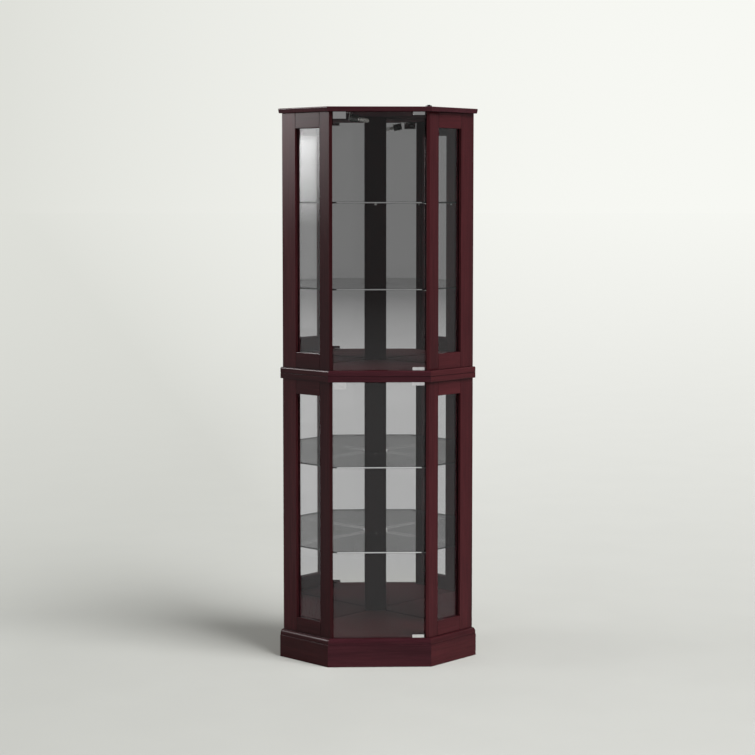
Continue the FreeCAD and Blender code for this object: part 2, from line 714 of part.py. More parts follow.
def lamp_bulb():
    """Small tubular bulb: screw base in the socket and a round-ended glass."""
    start = SOCKET_LENGTH - BULB_BASE_LENGTH
    glass = SOCKET_LENGTH + BULB_GAP
    end = glass + BULB_LENGTH
    outline = [(start, 0), (start, BULB_BASE_RADIUS), (glass, BULB_BASE_RADIUS),
               (glass, BULB_RADIUS)]
    for step in range(BULB_DOME_STEPS):
        lift = math.radians(90 * step / BULB_DOME_STEPS)
        outline.append((end - BULB_RADIUS + BULB_RADIUS * math.sin(lift),
                        BULB_RADIUS * math.cos(lift)))
    return in_lamp(turned(outline + [(end, 0)]))


def lamp_bracket():
    """Bent strip: a foot under the top board and a leg behind the socket."""
    half = BRACKET_WIDTH / 2
    leg = in_lamp(block(-BRACKET_THICK, 0, -half, half, -BRACKET_BELOW, 2 * LAMP_DROP))
    above = block(LAMP_X - LAMP_DROP, LAMP_X + LAMP_DROP, LAMP_Y - half, LAMP_Y + half,
                  UPPER_CEILING, TOP + LAMP_DROP)
    leg = leg.cut(above)
    foot = block(BRACKET_LEFT, BRACKET_HEEL, LAMP_Y - half, LAMP_Y + half,
                 UPPER_CEILING - BRACKET_THICK, UPPER_CEILING)
    return leg.fuse(foot).removeSplitter()


# ---- switch and lead entry ----
def switch_base():
    ring = Part.makeCylinder(SWITCH_RADIUS, SWITCH_HEIGHT, V(SWITCH_X, SWITCH_Y, TOP))
    well = Part.makeCylinder(BUTTON_RADIUS + BUTTON_CLEARANCE, SWITCH_HEIGHT,
                             V(SWITCH_X, SWITCH_Y, TOP + BUTTON_FLOOR))
    return ring.cut(well)


def switch_button():
    low = TOP + BUTTON_FLOOR + BUTTON_TRAVEL + PLUNGER_GAP
    high = TOP + SWITCH_HEIGHT + BUTTON_RISE
    cap = Part.makeCylinder(BUTTON_RADIUS, high - low, V(SWITCH_X, SWITCH_Y, low))
    rim = [edge for edge in cap.Edges if edge.Closed and edge.Vertexes[0].Z > (low + high) / 2]
    return cap.makeChamfer(BUTTON_EASE, rim)


def lead_grommet():
    """Membrane grommet pushed into the top board: a flange and a closed neck."""
    neck = Part.makeCylinder(GROMMET_RADIUS, TOP_BOARD,
                             V(GROMMET_X, GROMMET_Y, UPPER_CEILING))
    flange = Part.makeCylinder(GROMMET_FLANGE, GROMMET_FLANGE_THICK,
                               V(GROMMET_X, GROMMET_Y, TOP))
    return neck.fuse(flange).removeSplitter()


# ---- the whole cabinet ----
def cabinet():
    """Every piece by name, still in the drawing position."""
    pieces = {
        "plinth_front": front_moulding(plinth_profile()),
        "plinth_right": side_moulding(plinth_profile()),
        "plinth_back_rails": plinth_back_rails(),
        "base_corner_blocks": base_corner_blocks(),
        "bottom_board": bottom_board(),
        "lower_top_board": lower_top_board(),
        "upper_bottom_board": upper_bottom_board(),
        "waist_moulding_front": front_moulding(waist_profile()),
        "waist_moulding_right": side_moulding(waist_profile()),
        "top_board": top_board(),
        "shelf_pins": shelf_pins(),
        "hinge_bushings": hinge_bushings(),
        "latch_bodies": latch_bodies(),
        "lower_latch_plunger": latch_plunger(LOWER_CEILING),
        "upper_latch_plunger": latch_plunger(UPPER_CEILING),
        "lamp_bracket": lamp_bracket(),
        "lamp_socket": lamp_socket(),
        "lamp_bulb": lamp_bulb(),
        "lamp_switch_base": switch_base(),
        "lamp_switch_button": switch_button(),
        "lamp_lead_grommet": lead_grommet(),
    }
    pieces["plinth_left"] = mirrored(pieces["plinth_right"])
    pieces["waist_moulding_left"] = mirrored(pieces["waist_moulding_right"])
    beads = []
    for case in ("lower", "upper"):
        holes = pin_holes(case)
        handed = {
            "front_stile": front_stile(case).cut(holes),
            "rear_stile": rear_stile(case).cut(holes),
            "side_rails": side_rails(case),
            "side_glass": side_glass(case),
            "back_board": back_board(case),
            "mirror": mirror_plate(case),
        }
        for name, shape in handed.items():
            pieces[case + "_right_" + name] = shape
            pieces[case + "_left_" + name] = mirrored(shape)
        low_shelf, high_shelf = shelf_levels(case)
        pieces[case + "_shelf_low"] = shelf(low_shelf)
        pieces[case + "_shelf_high"] = shelf(high_shelf)
        pieces[case + "_centre_post"] = centre_post(case).cut(holes)
        pieces[case + "_door_glass"] = door_glass(case)
        pieces[case + "_door_hinge_clips"] = door_hinge_clips(case)
        pieces[case + "_door_strike_plate"] = door_strike_plate(case)
        beads += glass_beads(case)
    beads += [mirrored(bead) for bead in beads]
    pieces["side_glass_beads"] = Part.makeCompound(beads)
    return pieces


os.makedirs("parts", exist_ok=True)
for name, shape in sorted(cabinet().items()):
    shape.translate(V(0, -ORIGIN_Y, 0))
    shape.exportStep("parts/" + name + ".step")
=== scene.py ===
import json
import math

import bmesh
import bpy
from mathutils import Matrix, Vector


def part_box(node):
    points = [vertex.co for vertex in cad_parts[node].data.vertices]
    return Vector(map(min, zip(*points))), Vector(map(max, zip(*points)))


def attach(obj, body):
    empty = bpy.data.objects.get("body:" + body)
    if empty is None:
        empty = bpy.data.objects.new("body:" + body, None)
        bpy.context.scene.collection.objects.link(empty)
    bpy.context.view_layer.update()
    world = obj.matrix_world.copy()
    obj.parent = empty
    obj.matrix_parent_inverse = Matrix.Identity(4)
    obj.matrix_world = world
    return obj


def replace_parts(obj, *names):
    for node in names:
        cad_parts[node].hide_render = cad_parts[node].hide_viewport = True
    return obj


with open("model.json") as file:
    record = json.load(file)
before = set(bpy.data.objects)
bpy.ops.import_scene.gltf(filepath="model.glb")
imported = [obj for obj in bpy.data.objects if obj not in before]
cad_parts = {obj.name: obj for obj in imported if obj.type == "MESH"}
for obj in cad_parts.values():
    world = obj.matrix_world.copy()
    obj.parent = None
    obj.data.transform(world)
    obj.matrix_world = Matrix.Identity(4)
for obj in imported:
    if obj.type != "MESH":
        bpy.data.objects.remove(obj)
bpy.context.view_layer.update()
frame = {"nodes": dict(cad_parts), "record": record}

# Corner curio cabinet: looks only. Metres, in the frame of the CAD model.
# The cabinet's front faces -Y and its mirrors meet towards +Y.

# ---- camera ----
CAMERA_PLACE = (-0.1868, -6.1876, 1.5069)
CAMERA_YAW = 1.729            # degrees to the right of +Y
CAMERA_PITCH = 4.294          # degrees downwards
CAMERA_LENS = 89.49           # millimetres, as is the sensor
CAMERA_SENSOR = 36.0
CAMERA_SHIFT = -0.0493        # share of the picture's width
CAMERA_FAR = 500.0

# ---- light ----
KEY_AZIMUTH = 40.0            # degrees from +X towards the front
KEY_ELEVATION = 42.0
KEY_ANGLE = 38.0              # apparent width of the soft key, degrees
KEY_STRENGTH = 3.22
KEY_DISTANCE = 5.0            # only where it stands: a sun lights the same from anywhere
FILL_PLACE = (-3.2, -0.12)    # panel that lights the wood and the floor
FILL_SIZE = (1.3, 1.65)       # width and height
FILL_POWER = 9.0
SHEEN_PLACE = (-3.1, 0.1)     # tall panel that lacquer and glass reflect
SHEEN_SIZE = (1.1, 3.7)
SHEEN_POWER = 104.0
SHEEN_EDGE = 0.336            # share of its width over which it fades out towards the front
PANEL_FOOT = 1.255            # height of both panels' lower edges
PANEL_FADE = (0.125, 0.54)    # height above their feet over which both panels brighten
PANEL_CROWN = (0.56, 1.5, 6.0)  # heights where the tall one brightens more, and how much
AMBIENT = (0.335, 0.335, 0.3283, 1)
PALE_LEFT = (0.737, 0.745, 0.700)  # background
PALE_RIGHT = (0.930, 0.938, 0.896)
PALE_SPAN = (-0.162, 0.222)   # direction along X over which it brightens
ROOM_DARK = 0.24              # greys that mirrors and glass show of the room
ROOM_LEFT = 0.9
ROOM_RIGHT = 0.55
ROOM_BEHIND = 0.8
ROOM_TURN = (0.4, 0.9)        # direction along X where its sides start and are full
ROOM_BACK = (0.2, 0.8)        # direction along Y where what is behind starts and is full
# painted shade: the floor's colour darkens towards the left, where less light falls
FLOOR_LEFT = (0.486, 0.491, 0.465)
FLOOR_RIGHT = (0.617, 0.621, 0.591)
FLOOR_SPAN = (-1.15, 0.75)    # from left to right, where the floor's painted shade lightens
FLOOR_REACH = 200.0           # half of the floor's width
FLOOR_CLEAR = 0.6             # distance at which it starts to mix into the background
FLOOR_FADE = (2.5, 5.6)       # and how much farther it is half mixed, left and right
FLOOR_SEEN = (0.35, 1.2)      # where reflections start to show the floor's painted glow instead of its lit surface
POOL_LIT = 0.607              # painted light: grey the floor glows with in reflections near the cabinet
POOL_SPAN = (8.0, 22.8)       # distance over which that painted glow darkens to the room's grey
FLOOR_SIDES = (1.3, 2.2)      # distance at which the painted glow takes on the room's sides, starting and full

# ---- materials ----
WOOD_DARK = (0.030, 0.0054, 0.0073, 1)
WOOD_MIDDLE = (0.047, 0.0085, 0.0110, 1)
WOOD_LIGHT = (0.066, 0.0122, 0.0153, 1)
# near-black colours of the centre post
POST_WOOD = ((0.009, 0.0026, 0.0027, 1), (0.013, 0.0034, 0.0036, 1), (0.018, 0.0047, 0.005, 1))
INNER_WOOD = ((0.23, 0.13, 0.07, 1), (0.36, 0.24, 0.14, 1), (0.46, 0.33, 0.21, 1))
PANEL_WOOD = ((0.05, 0.026, 0.018, 1), (0.09, 0.05, 0.035, 1), (0.13, 0.075, 0.05, 1))
LEFT_PAINTED_SHADE = (0.62, 0.62, 0.62)         # painted shade: darker copy of the lacquer's colours for the left-facing pieces
# painted shade: darker still for the left front stiles
FRONT_STILE_PAINTED_SHADE = (0.55, 0.55, 0.55)
# painted light: lighter, greyer copy of the lacquer's colours for the level and front pieces
LEVEL_PAINTED_LIGHT = (1.02, 1.3, 1.45)
LACQUER_SHINE = 0.10          # specular levels
INSIDE_SHINE = 0.04
BARE_SHINE = 0.3
EDGE_EASE = 0.0007            # softened corners of worked wood
CREASE_REACH = 0.003          # how far the painted shade reaches out of joints and inner corners
CREASE_OPEN = (0.85, 0.45)    # share of open air where the painted shade starts to show and is full
UNDERSIDE = -0.7              # a face that looks down farther than this is an underside
DOOR_IOR = 1.38
SIDE_IOR = 1.33
SHELF_IOR = 1.1
PANE_TINT = (0.975, 0.976, 0.975, 1)
# painted shade: the panes' ground edges nearly black, so the gap beside a pane reads dark
PANE_EDGE = (0.05, 0.06, 0.057, 1)
PANE_EDGE_TURN = 0.74         # an edge looks farther aside than a canted pane does (0.707)
SHELF_TINT = (0.628, 0.630, 0.628, 1)
SHELF_FRONT = (0.98, 0.98, 0.98, 1)
# painted shade: canted shelf edges mirror only a few per cent, so they show as dark lines
SHELF_SIDE = (0.03, 0.034, 0.033, 1)
SHELF_BACK = (0.96, 0.965, 0.96, 1)
SHELF_LEVEL = 0.9             # a face that looks less far up or down than this is an edge
SHELF_FORWARD = -0.72         # the edge whose direction along Y is below this is the front one
SHELF_SOLID = (-0.1, -0.6)    # direction along Y where the edges start to mirror and do fully
BULB_TINT = (0.95, 0.95, 0.94, 1)
BULB_CLOUD = (0.86, 0.86, 0.84, 1)
MIRROR_TONES = ((0.850, 0.850, 0.850, 1), (0.874, 0.874, 0.874, 1))

# ---- cabinet's plan and mouldings, as in the CAD model ----
HALF_FRONT = 0.160
FRONT_Y = -0.206028
SIDE_RUN = 0.215
BACK_HALF = 0.035
CANT = math.cos(math.radians(45))
MITRE = math.tan(math.radians(22.5))
PLINTH_OUTLINE = ((0, 0), (0.017, 0), (0.017, 0.072, 0.001), (0.015, 0.072),
                  (0.015, 0.091, 0.013), (0, 0.091))  # overhang, height, radius
WAIST_OUTLINE = ((0, 0.923), (0.011, 0.923, 0.002), (0.011, 0.9407), (0.0094, 0.9407),
                 (0.0094, 0.9423), (0.011, 0.9423), (0.011, 0.960, 0.005), (0, 0.960))
TOP_OUTLINE = ((0, 1.785), (0.0138, 1.785, 0.002), (0.017, 1.7975, 0.002),
               (0.0152, 1.800, 0.001), (0, 1.800))
ARC_STEPS = 8
ARC_LEAD = 0.0003             # flat strip beside each rounding, which keeps the flats even
SMOOTH_ANGLE = math.radians(30)
FLAT_ANGLE = math.radians(1)
FRAME_ARRIS = 0.0012
SAME_SPOT = 1e-6              # distance within which corners are one corner

# ---- mirrors ----
MIRROR_LEAN = 0.38            # degrees that each mirror turns in at its outer end
MIRROR_ARRIS = 0.0006

# ---- lamp, along its own axis from the bracket ----
LAMP_PLACE = (-0.09436, -0.14603, 1.769)
LAMP_TILT = 11.0              # degrees downwards
SOCKET_MOUTH = 0.028
SOCKET_RADIUS = 0.012
SOCKET_HOLE = 0.0066
LIP_RADIUS = 0.0132
LIP_LENGTH = 0.003
LIP_EASE = 0.0005
RING_DEPTH = 0.002            # plated ring in the mouth: into the socket and out of it
RING_RISE = 0.0009
RING_HOLE = 0.0092
RING_EASE = 0.0006
RING_GAP = 0.0002             # from the lip's outside
RING_SIDES = 48
BULB_START = 0.0288
BULB_END = 0.0646
BULB_RADIUS = 0.0067
SHELL_START = 0.0132
SHELL_RADIUS = 0.0062
THREAD_PITCH = 0.0026
THREAD_DEPTH = 0.0005
THREAD_STEPS = 8              # outline points per ridge
KNURLS = 28
KNURL_SCALE = 0.965           # radius between two ridges
KNURL_SPAN = (0.0006, SOCKET_MOUTH - 0.0074)
MOUNT_OUTLINE = ((0, 0), (0, 0.0036), (0.004, 0.003), (0.009, 0.0017), (0.014, 0.0015),
                 (0.0155, 0))  # from the bulb's start, radius
MOUNT_SIDES = 16

# ---- screws ----
SCREW_SIDES = 16
RECESS_ARM = 0.52             # cross recess, as shares of the head's radius
RECESS_NOTCH = 0.16
SMALL_SCREW = (0.0026, 0.0012)  # radius and height of the fittings' screws
PANEL_SCREW = (0.0036, 0.0015)
FITTING_EDGE = 0.0045         # end of a latch's ear, or side of the bracket's foot, to a screw
EAR_THICK = 0.002
FOOT_THICK = 0.0015
FOOT_LENGTH = 0.008           # bracket's end to its screws
PANEL_EDGE = 0.012            # back board's edge to its screws
PANEL_ROWS = 5
PANEL_OUTER = 1e-5            # corners this near to the outermost are on the outer face


# ---- node helpers ----
def add(tree, kind, inputs=None, **settings):
    """New node; an input is a value or a socket to link from."""
    node = tree.nodes.new(kind)
    for name, value in settings.items():
        setattr(node, name, value)
    for name, value in (inputs or {}).items():
        if isinstance(value, bpy.types.NodeSocket):
            tree.links.new(value, node.inputs[name])
        else:
            node.inputs[name].default_value = value
    return node


def calculate(tree, operation, first, second=0.5, clamp=False):
    node = add(tree, "ShaderNodeMath", {0: first, 1: second}, operation=operation)
    node.use_clamp = clamp
    return node.outputs[0]


def spread(tree, value, low, high, to_low=0.0, to_high=1.0, smooth=True):
    """Maps a value from one range to another, clamped."""
    kind = "SMOOTHSTEP" if smooth else "LINEAR"
    node = add(tree, "ShaderNodeMapRange", {0: value, 1: low, 2: high, 3: to_low, 4: to_high},
               interpolation_type=kind)
    return node.outputs[0]


def blend_colour(tree, factor, first, second):
    node = add(tree, "ShaderNodeMix", {0: factor, 6: first, 7: second}, data_type="RGBA")
    return node.outputs[2]


def new_tree(name):
    material = bpy.data.materials.new(name)
    material.use_nodes = True
    material.node_tree.nodes.clear()
    return material, material.node_tree


def finish_surface(tree, shader):
    add(tree, "ShaderNodeOutputMaterial", {"Surface": shader})


def noise(tree, where, scale, detail, roughness):
    node = add(tree, "ShaderNodeTexNoise", {"Vector": where, "Scale": scale, "Detail": detail,
                                            "Roughness": roughness})
    return node.outputs["Fac"]


def bump(tree, height, strength, distance, normal=None):
    node = add(tree, "ShaderNodeBump", {"Height": height, "Strength": strength,
                                        "Distance": distance})
    if normal is not None:
        tree.links.new(normal, node.inputs["Normal"])
    return node.outputs["Normal"]


# ---- wood ----
def grain_space(tree, turn, upright):
    """Object coordinates, turned about Z and squeezed along the grain, shifted per piece."""
    place = add(tree, "ShaderNodeTexCoord").outputs["Object"]
    own = add(tree, "ShaderNodeObjectInfo").outputs["Random"]
    shift = add(tree, "ShaderNodeCombineXYZ", {0: own, 1: own, 2: own}).outputs[0]
    moved = add(tree, "ShaderNodeVectorMath", {0: place, 1: shift}, operation="ADD").outputs[0]
    turned = add(tree, "ShaderNodeMapping", {"Vector": moved,
                                             "Rotation": (0, 0, math.radians(turn))}).outputs[0]
    squeeze = (1, 1, 0.05) if upright else (0.05, 1, 1)
    return add(tree, "ShaderNodeMapping", {"Vector": turned, "Scale": squeeze}).outputs[0]


def crease_shade_mask(tree):
    """Painted shade from ambient occlusion: 1 in joints, inner corners and contact lines, 0 on
    the open surface.
    """
    open_air = add(tree, "ShaderNodeAmbientOcclusion", {"Distance": CREASE_REACH}, samples=4)
    return spread(tree, open_air.outputs["AO"], CREASE_OPEN[0], CREASE_OPEN[1])


def inner_mask(tree):
    """1 on undersides and on faces that look into the cabinet, which are less polished."""
    coordinates = add(tree, "ShaderNodeTexCoord").outputs
    flat = add(tree, "ShaderNodeVectorMath", {0: coordinates["Object"], 1: (1, 1, 0)},
               operation="MULTIPLY").outputs[0]
    outward = add(tree, "ShaderNodeVectorMath", {0: flat, 1: coordinates["Normal"]},
                  operation="DOT_PRODUCT").outputs["Value"]
    inward = calculate(tree, "LESS_THAN", outward, -0.01)
    height = add(tree, "ShaderNodeSeparateXYZ", {0: coordinates["Normal"]}).outputs[2]
    return calculate(tree, "MAXIMUM", inward,
                     calculate(tree, "LESS_THAN", height, UNDERSIDE))


def wood(name, turn=0.0, upright=False, colours=(WOOD_DARK, WOOD_MIDDLE, WOOD_LIGHT),
         rough=(0.17, 0.23), shine=LACQUER_SHINE, relief=0.06):
    """Straight-grained timber: broad figure, fine streaks, open pores, and painted shade in
    joints, which also draws their dark lines.
    """
    material, tree = new_tree(name)
    where = grain_space(tree, turn, upright)
    figure = noise(tree, where, 14.0, 2.0, 0.5)
    streaks = noise(tree, where, 170.0, 4.0, 0.6)
    pores = noise(tree, where, 1500.0, 1.0, 0.5)
    tone = calculate(tree, "ADD", calculate(tree, "MULTIPLY", figure, 0.55),
                     calculate(tree, "MULTIPLY", streaks, 0.45))
    ramp = add(tree, "ShaderNodeValToRGB", {0: tone})
    ramp.color_ramp.elements[0].position = 0.32
    ramp.color_ramp.elements[0].color = colours[0]
    ramp.color_ramp.elements[1].position = 0.68
    ramp.color_ramp.elements[1].color = colours[2]
    ramp.color_ramp.elements.new(0.5).color = colours[1]
    open_pore = spread(tree, pores, 0.60, 0.72)
    shade = blend_colour(tree, calculate(tree, "MULTIPLY", open_pore, 0.35),
                         ramp.outputs[0], colours[0])
    eased = add(tree, "ShaderNodeBevel", {"Radius": EDGE_EASE}, samples=4).outputs[0]
    crease = crease_shade_mask(tree)
    # painted shade: joints, inner corners and contact lines darkened from ambient occlusion
    dark = tuple(0.3 * part for part in colours[0][:3]) + (1,)
    shade = blend_colour(tree, crease, shade, dark)
    polish = spread(tree, streaks, 0.3, 0.7, rough[0], rough[1])
    dusty = calculate(tree, "ADD", polish, calculate(tree, "MULTIPLY", crease, 0.4))
    dull = calculate(tree, "MAXIMUM", dusty, calculate(tree, "MULTIPLY", inner_mask(tree), 0.9))
    height = calculate(tree, "SUBTRACT", streaks, open_pore)
    skin = add(tree, "ShaderNodeBsdfPrincipled", {
        "Base Color": shade, "Roughness": dull, "Specular IOR Level": shine,
        "Normal": bump(tree, height, relief, 0.0003, eased)})
    finish_surface(tree, skin.outputs[0])
    return material


# ---- glass and mirrors ----
def surface_fresnel(tree, index):
    """Mirrored share of a pane's surface, the same from both of its sides."""
    inside = add(tree, "ShaderNodeNewGeometry").outputs["Backfacing"]
    ior = spread(tree, inside, 0.0, 1.0, index, 1 / index, smooth=False)
    return add(tree, "ShaderNodeFresnel", {"IOR": ior}).outputs[0]


def clear_face(tree, tint, index):
    """Thin clear glass that lets lamps through, a little smeared."""
    place = add(tree, "ShaderNodeTexCoord").outputs["Object"]
    smears = noise(tree, place, 9.0, 3.0, 0.6)
    through = add(tree, "ShaderNodeBsdfTransparent", {"Color": tint})
    shine = add(tree, "ShaderNodeBsdfGlossy", {
        "Color": (1, 1, 1, 1), "Roughness": spread(tree, smears, 0.35, 0.7, 0.0, 0.015)})
    return add(tree, "ShaderNodeMixShader", {0: surface_fresnel(tree, index),
                                             1: through.outputs[0], 2: shine.outputs[0]})


def pane_glass(name, index):
    """Upright pane; its ground edges face sideways, up or down, and are painted nearly black as
    painted shade.
    """
    material, tree = new_tree(name)
    face = clear_face(tree, PANE_TINT, index)
    normal = add(tree, "ShaderNodeTexCoord").outputs["Normal"]
    parts = add(tree, "ShaderNodeSeparateXYZ", {0: normal}).outputs
    aside = calculate(tree, "MAXIMUM", calculate(tree, "ABSOLUTE", parts[0]),
                      calculate(tree, "ABSOLUTE", parts[2]))
    rim = calculate(tree, "GREATER_THAN", aside, PANE_EDGE_TURN)
    ground = add(tree, "ShaderNodeBsdfPrincipled", {
        "Base Color": PANE_EDGE, "Roughness": 0.35, "Specular IOR Level": 0.15})
    both = add(tree, "ShaderNodeMixShader", {0: calculate(tree, "MULTIPLY", rim, 0.6),
                                             1: face.outputs[0], 2: ground.outputs[0]})
    finish_surface(tree, both.outputs[0])
    return material


def shelf_glass(name):
    """Level pane: its front edge mirrors the room, canted ones are painted dark as painted
    shade, back ones clear.
    """
    material, tree = new_tree(name)
    face = clear_face(tree, SHELF_TINT, SHELF_IOR)
    normal = add(tree, "ShaderNodeTexCoord").outputs["Normal"]
    inside = add(tree, "ShaderNodeNewGeometry").outputs["Backfacing"]
    facing = spread(tree, inside, 0.0, 1.0, 1.0, -1.0, smooth=False)
    outward = add(tree, "ShaderNodeVectorMath", {0: normal, "Scale": facing}, operation="SCALE")
    parts = add(tree, "ShaderNodeSeparateXYZ", {0: outward.outputs[0]}).outputs
    rim = calculate(tree, "LESS_THAN", calculate(tree, "ABSOLUTE", parts[2]), SHELF_LEVEL)
    forward = calculate(tree, "LESS_THAN", parts[1], SHELF_FORWARD)
    clear = add(tree, "ShaderNodeBsdfTransparent", {"Color": SHELF_BACK})
    polished = add(tree, "ShaderNodeBsdfGlossy", {
        "Color": blend_colour(tree, forward, SHELF_SIDE, SHELF_FRONT), "Roughness": 0.08})
    solid = spread(tree, parts[1], SHELF_SOLID[0], SHELF_SOLID[1], 0.0, 0.9)
    side = add(tree, "ShaderNodeMixShader", {0: solid, 1: clear.outputs[0],
                                             2: polished.outputs[0]})
    both = add(tree, "ShaderNodeMixShader", {0: rim, 1: face.outputs[0], 2: side.outputs[0]})
    finish_surface(tree, both.outputs[0])
    return material


def bulb_glass(name):
    """Clear glass, a little clouded."""
    material, tree = new_tree(name)
    place = add(tree, "ShaderNodeTexCoord").outputs["Object"]
    clouds = noise(tree, place, 220.0, 2.0, 0.5)
    through = add(tree, "ShaderNodeBsdfTransparent", {"Color": BULB_TINT})
    pearl = add(tree, "ShaderNodeBsdfPrincipled", {
        "Base Color": BULB_CLOUD, "Specular IOR Level": 0.9,
        "Roughness": spread(tree, clouds, 0.3, 0.7, 0.06, 0.12)})
    both = add(tree, "ShaderNodeMixShader", {0: spread(tree, clouds, 0.35, 0.65, 0.15, 0.5),
                                             1: through.outputs[0], 2: pearl.outputs[0]})
    finish_surface(tree, both.outputs[0])
    return material


def silvered(name):
    """Mirror glass with slightly uneven silvering."""
    material, tree = new_tree(name)
    place = add(tree, "ShaderNodeTexCoord").outputs["Object"]
    haze = noise(tree, place, 5.0, 2.0, 0.5)
    tone = blend_colour(tree, haze, MIRROR_TONES[0], MIRROR_TONES[1])
    skin = add(tree, "ShaderNodeBsdfPrincipled", {
        "Base Color": tone, "Metallic": 1.0, "Roughness": 0.0})
    finish_surface(tree, skin.outputs[0])
    return material


# ---- metals and plastics ----
def metal(name, colour, rough, brushed):
    material, tree = new_tree(name)
    place = add(tree, "ShaderNodeTexCoord").outputs["Object"]
    lines = add(tree, "ShaderNodeMapping", {"Vector": place,
                                            "Scale": (0.05, 1.0, 1.0)}).outputs[0]
    grain = noise(tree, lines, 2500.0, 2.0, 0.5)
    marks = noise(tree, place, 90.0, 3.0, 0.6)
    tone = blend_colour(tree, marks, colour + (1,), tuple(0.88 * c for c in colour) + (1,))
    skin = add(tree, "ShaderNodeBsdfPrincipled", {
        "Base Color": tone, "Metallic": 1.0,
        "Roughness": spread(tree, marks, 0.3, 0.75, rough, rough + 0.12),
        "Normal": bump(tree, grain, brushed, 0.0001)})
    finish_surface(tree, skin.outputs[0])
    return material


def plastic(name, colour, rough, texture=0.1):
    material, tree = new_tree(name)
    place = add(tree, "ShaderNodeTexCoord").outputs["Object"]
    dimples = noise(tree, place, 1400.0, 2.0, 0.5)
    clouds = noise(tree, place, 60.0, 3.0, 0.5)
    tone = blend_colour(tree, clouds, colour + (1,), tuple(1.35 * c for c in colour) + (1,))
    skin = add(tree, "ShaderNodeBsdfPrincipled", {
        "Base Color": tone, "Roughness": spread(tree, clouds, 0.3, 0.7, rough, rough + 0.1),
        "Normal": bump(tree, dimples, texture, 0.0002)})
    finish_surface(tree, skin.outputs[0])
    return material


# ---- studio ----
def pale(tree, sideways):
    """The background's colour, brighter towards +X."""
    across = spread(tree, sideways, PALE_SPAN[0], PALE_SPAN[1], 1.0, 0.0, smooth=False)
    ease = calculate(tree, "SUBTRACT", 1.0, calculate(tree, "MULTIPLY", across, across))
    return blend_colour(tree, ease, PALE_LEFT + (1,), PALE_RIGHT + (1,))


def painted_floor_glow(tree, reach):
    """Painted light: grey the floor glows with in reflections, a pool that darkens with
    distance from the cabinet.
    """
    return spread(tree, reach, POOL_SPAN[0], POOL_SPAN[1], POOL_LIT, ROOM_DARK,
                  smooth=False)


def room_sides(tree, sideways, colour, amount=1.0):
    """Brightens what reflections show of the room's left and right sides."""
    start, full = ROOM_TURN
    for hand, grey in ((-1, ROOM_LEFT), (1, ROOM_RIGHT)):
        turned = spread(tree, sideways, hand * start, hand * full)
        toward = calculate(tree, "MULTIPLY", turned, amount)
        colour = blend_colour(tree, toward, colour, (grey, grey, grey, 1))
    return colour


def floor_material():
    """Diffuse near the cabinet, so that it takes the shadow, with painted shade towards the
    left; mixed into the background, and a painted glow in reflections.
    """
    material, tree = new_tree("studio_floor")
    place = add(tree, "ShaderNodeNewGeometry").outputs["Position"]
    across = add(tree, "ShaderNodeSeparateXYZ", {0: place}).outputs[0]
    reach = add(tree, "ShaderNodeVectorMath", {0: place}, operation="LENGTH").outputs["Value"]
    left = spread(tree, across, FLOOR_SPAN[0], FLOOR_SPAN[1], 1.0, 0.0, smooth=False)
    side = calculate(tree, "SUBTRACT", 1.0, calculate(tree, "MULTIPLY", left, left))
    beyond = calculate(tree, "MAXIMUM", calculate(tree, "SUBTRACT", reach, FLOOR_CLEAR), 0.0)
    half = spread(tree, side, 0.0, 1.0, FLOOR_FADE[0], FLOOR_FADE[1], smooth=False)
    fade = calculate(tree, "DIVIDE", beyond, calculate(tree, "ADD", beyond, half))
    way = add(tree, "ShaderNodeVectorMath", {0: place}, operation="NORMALIZE").outputs[0]
    sideways = add(tree, "ShaderNodeSeparateXYZ", {0: way}).outputs[0]
    rays = add(tree, "ShaderNodeLightPath").outputs
    # painted light: for glossy rays the floor glows as a painted pool of light
    room = spread(tree, reach, FLOOR_SEEN[0], FLOOR_SEEN[1])
    share = calculate(tree, "ADD", calculate(tree, "MULTIPLY", fade, rays["Is Camera Ray"]),
                      calculate(tree, "MULTIPLY", room, rays["Is Glossy Ray"]), clamp=True)
    seen = room_sides(tree, sideways, painted_floor_glow(tree, reach),
                      spread(tree, reach, FLOOR_SIDES[0], FLOOR_SIDES[1]))
    far = blend_colour(tree, rays["Is Camera Ray"], seen, pale(tree, sideways))
    # painted shade: darker floor colour towards the left
    plain = blend_colour(tree, side, FLOOR_LEFT + (1,), FLOOR_RIGHT + (1,))
    mottle = spread(tree, noise(tree, place, 3.0, 3.0, 0.5), 0.3, 0.7, 0.99, 1.01)
    colour = add(tree, "ShaderNodeVectorMath", {0: plain, "Scale": mottle},
                 operation="SCALE").outputs[0]
    near = add(tree, "ShaderNodeBsdfDiffuse", {"Color": colour})
    glow = add(tree, "ShaderNodeEmission", {"Color": far, "Strength": 1.0})
    both = add(tree, "ShaderNodeMixShader", {0: share, 1: near.outputs[0], 2: glow.outputs[0]})
    finish_surface(tree, both.outputs[0])
    return material


def make_floor():
    mesh = bpy.data.meshes.new("studio_floor")
    half = FLOOR_REACH
    mesh.from_pydata([(-half, -half, 0), (half, -half, 0), (half, half, 0), (-half, half, 0)],
                     [], [(0, 1, 2, 3)])
    floor = bpy.data.objects.new("studio_floor", mesh)
    bpy.context.scene.collection.objects.link(floor)
    mesh.materials.append(floor_material())


